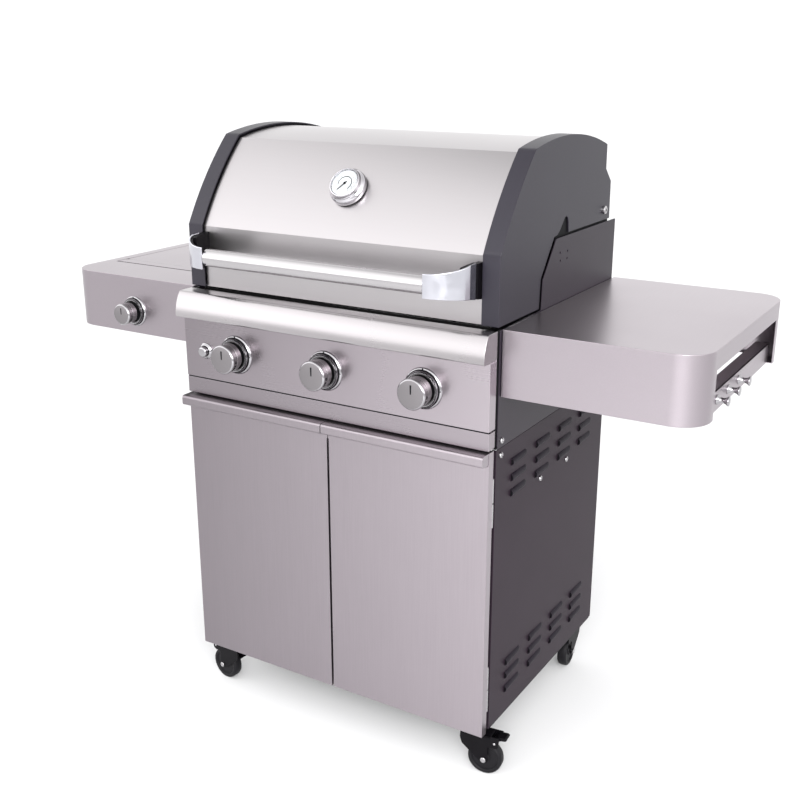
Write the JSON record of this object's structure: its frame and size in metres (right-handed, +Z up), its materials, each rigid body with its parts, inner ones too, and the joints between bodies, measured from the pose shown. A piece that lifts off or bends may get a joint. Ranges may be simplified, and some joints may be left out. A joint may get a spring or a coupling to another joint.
{
  "type": "gas barbecue grill",
  "caption": "Cart-style gas barbecue grill with a hinged lid, cabinet doors, side shelves, a covered side burner, control knobs and swivel casters.",
  "frame": {"origin": "middle of the footprint of the whole object, on the floor", "axes": "+X to the right seen from the front, +Y from the front to the rear, +Z up"},
  "size_m": [1.445, 0.632, 1.2349],
  "materials": {
    "stainless": "brushed stainless sheet with a slightly warm grey tone",
    "dark_panel": "charcoal powder coat, semi-gloss",
    "black_frame": "black powder coat",
    "cap_paint": "dark grey enamel, satin",
    "chrome": "polished",
    "knob_metal": "brushed drum with a bright bevel",
    "plain_steel": "mill finish, dull",
    "grate_iron": "matt enamelled iron",
    "brass": "satin",
    "caster_plastic": "black nylon, satin",
    "wheel_rubber": "dark grey tread",
    "dial_face": "white print on a metal dial",
    "gauge_glass": "clear flat lens",
    "black_mark": "black ink and gaps"
  },
  "bodies": {
    "cart": {"control_panel": "stainless", "panel_trim": "stainless", "right_shelf": "stainless", "towel_rail": "stainless", "left_shelf": "stainless", "side_burner_bowl": "stainless", "side_panel_left": "dark_panel", "side_panel_right": "dark_panel", "upper_side_left": "dark_panel", "upper_side_right": "dark_panel", "bottom_shelf": "black_frame", "front_frame": "black_frame", "back_panel": "black_frame", "firebox": "black_frame", "lid_hinge_pin_left": "chrome", "lid_hinge_pin_right": "chrome", "warming_rack": "chrome", "emitter_1": "plain_steel", "emitter_2": "plain_steel", "emitter_3": "plain_steel", "burner_tube_1": "plain_steel", "burner_tube_2": "plain_steel", "burner_tube_3": "plain_steel", "cooking_grate_1": "grate_iron", "cooking_grate_2": "grate_iron", "cooking_grate_3": "grate_iron", "side_burner_grate": "grate_iron", "side_burner_head": "grate_iron", "gas_manifold": "brass"},
    "lid": {"lid_skin": "stainless", "lid_cap_left": "cap_paint", "lid_cap_right": "cap_paint", "handle_tube": "stainless", "handle_mount_left": "chrome", "handle_mount_right": "chrome", "gauge": "chrome"},
    "door_left": {"door_left": "stainless"},
    "door_right": {"door_right": "stainless"},
    "stem_1": {"valve_stem_1": "plain_steel"},
    "knob_1": {"knob_1": "knob_metal"},
    "stem_2": {"valve_stem_2": "plain_steel"},
    "knob_2": {"knob_2": "knob_metal"},
    "stem_3": {"valve_stem_3": "plain_steel"},
    "knob_3": {"knob_3": "knob_metal"},
    "stem_side": {"valve_stem_side": "plain_steel"},
    "knob_side": {"knob_side": "knob_metal"},
    "ignition_button": {"ignition_button": "chrome"},
    "side_burner_cover": {"side_burner_cover": "stainless"},
    "grease_tray": {"grease_tray": "plain_steel"},
    "fork_front_left": {"caster_fork_front_left": "caster_plastic"},
    "wheel_front_left": {"caster_wheel_front_left": "wheel_rubber"},
    "brake_front_left": {"brake_lever_front_left": "caster_plastic"},
    "fork_front_right": {"caster_fork_front_right": "caster_plastic"},
    "wheel_front_right": {"caster_wheel_front_right": "wheel_rubber"},
    "brake_front_right": {"brake_lever_front_right": "caster_plastic"},
    "fork_rear_left": {"caster_fork_rear_left": "caster_plastic"},
    "wheel_rear_left": {"caster_wheel_rear_left": "wheel_rubber"},
    "fork_rear_right": {"caster_fork_rear_right": "caster_plastic"},
    "wheel_rear_right": {"caster_wheel_rear_right": "wheel_rubber"}
  },
  "joints": [
    {"name": "lid_hinge", "type": "hinge", "parent": "cart", "child": "lid", "pos_m": [0, 0.242, 1.072], "axis": [-1, 0, 0], "range_deg": [0, 80]},
    {"name": "door_left_hinge", "type": "hinge", "parent": "cart", "child": "door_left", "pos_m": [-0.355, -0.2334, 0.397], "axis": [0, 0, -1], "range_deg": [0, 95]},
    {"name": "door_right_hinge", "type": "hinge", "parent": "cart", "child": "door_right", "pos_m": [0.343, -0.2334, 0.397], "axis": [0, 0, 1], "range_deg": [0, 95]},
    {"name": "knob_1_push", "type": "slide", "parent": "cart", "child": "stem_1", "axis": [0, 1, 0], "range_m": [0, 0.003], "stiffness_N_per_m": 500},
    {"name": "knob_1_turn", "type": "hinge", "parent": "stem_1", "child": "knob_1", "pos_m": [-0.224, -0.292, 0.8], "axis": [0, -1, 0], "range_deg": [0, 180]},
    {"name": "knob_2_push", "type": "slide", "parent": "cart", "child": "stem_2", "axis": [0, 1, 0], "range_m": [0, 0.003], "stiffness_N_per_m": 500},
    {"name": "knob_2_turn", "type": "hinge", "parent": "stem_2", "child": "knob_2", "pos_m": [-0.006, -0.292, 0.8], "axis": [0, -1, 0], "range_deg": [0, 180]},
    {"name": "knob_3_push", "type": "slide", "parent": "cart", "child": "stem_3", "axis": [0, 1, 0], "range_m": [0, 0.003], "stiffness_N_per_m": 500},
    {"name": "knob_3_turn", "type": "hinge", "parent": "stem_3", "child": "knob_3", "pos_m": [0.212, -0.292, 0.8], "axis": [0, -1, 0], "range_deg": [0, 180]},
    {"name": "knob_side_push", "type": "slide", "parent": "cart", "child": "stem_side", "axis": [0, 1, 0], "range_m": [0, 0.003], "stiffness_N_per_m": 500},
    {"name": "knob_side_turn", "type": "hinge", "parent": "stem_side", "child": "knob_side", "pos_m": [-0.534, -0.292, 0.845], "axis": [0, -1, 0], "range_deg": [0, 180]},
    {"name": "ignition_push", "type": "slide", "parent": "cart", "child": "ignition_button", "axis": [0, 1, 0], "range_m": [0, 0.003], "stiffness_N_per_m": 600},
    {"name": "side_cover_hinge", "type": "hinge", "parent": "cart", "child": "side_burner_cover", "pos_m": [-0.542, 0.24, 0.9205], "axis": [-1, 0, 0], "range_deg": [0, 100]},
    {"name": "grease_tray_slide", "type": "slide", "parent": "cart", "child": "grease_tray", "axis": [0, 1, 0], "range_m": [0, 0.4]},
    {"name": "caster_front_left_swivel", "type": "hinge", "parent": "cart", "child": "fork_front_left", "pos_m": [-0.307, -0.214, 0.092], "axis": [0, 0, 1], "continuous": true},
    {"name": "caster_front_left_roll", "type": "hinge", "parent": "fork_front_left", "child": "wheel_front_left", "pos_m": [-0.33374, -0.21024, 0.036], "axis": [-0.1392, -0.9903, 0], "continuous": true},
    {"name": "brake_front_left_press", "type": "hinge", "parent": "fork_front_left", "child": "brake_front_left", "pos_m": [-0.35552, -0.20718, 0.078], "axis": [-0.1392, -0.9903, 0], "range_deg": [0, 10]},
    {"name": "caster_front_right_swivel", "type": "hinge", "parent": "cart", "child": "fork_front_right", "pos_m": [0.31, -0.218, 0.092], "axis": [0, 0, 1], "continuous": true},
    {"name": "caster_front_right_roll", "type": "hinge", "parent": "fork_front_right", "child": "wheel_front_right", "pos_m": [0.3368, -0.21471, 0.036], "axis": [-0.1219, 0.9925, 0], "continuous": true},
    {"name": "brake_front_right_press", "type": "hinge", "parent": "fork_front_right", "child": "brake_front_right", "pos_m": [0.35863, -0.21203, 0.078], "axis": [-0.1219, 0.9925, 0], "range_deg": [0, 10]},
    {"name": "caster_rear_left_swivel", "type": "hinge", "parent": "cart", "child": "fork_rear_left", "pos_m": [-0.316, 0.268, 0.092], "axis": [0, 0, 1], "continuous": true},
    {"name": "caster_rear_left_roll", "type": "hinge", "parent": "fork_rear_left", "child": "wheel_rear_left", "pos_m": [-0.33938, 0.2545, 0.036], "axis": [0.5, -0.866, 0], "continuous": true},
    {"name": "caster_rear_right_swivel", "type": "hinge", "parent": "cart", "child": "fork_rear_right", "pos_m": [0.312, 0.272, 0.092], "axis": [0, 0, 1], "continuous": true},
    {"name": "caster_rear_right_roll", "type": "hinge", "parent": "fork_rear_right", "child": "wheel_rear_right", "pos_m": [0.31388, 0.24507, 0.036], "axis": [0.9976, 0.0698, 0], "continuous": true}
  ]
}
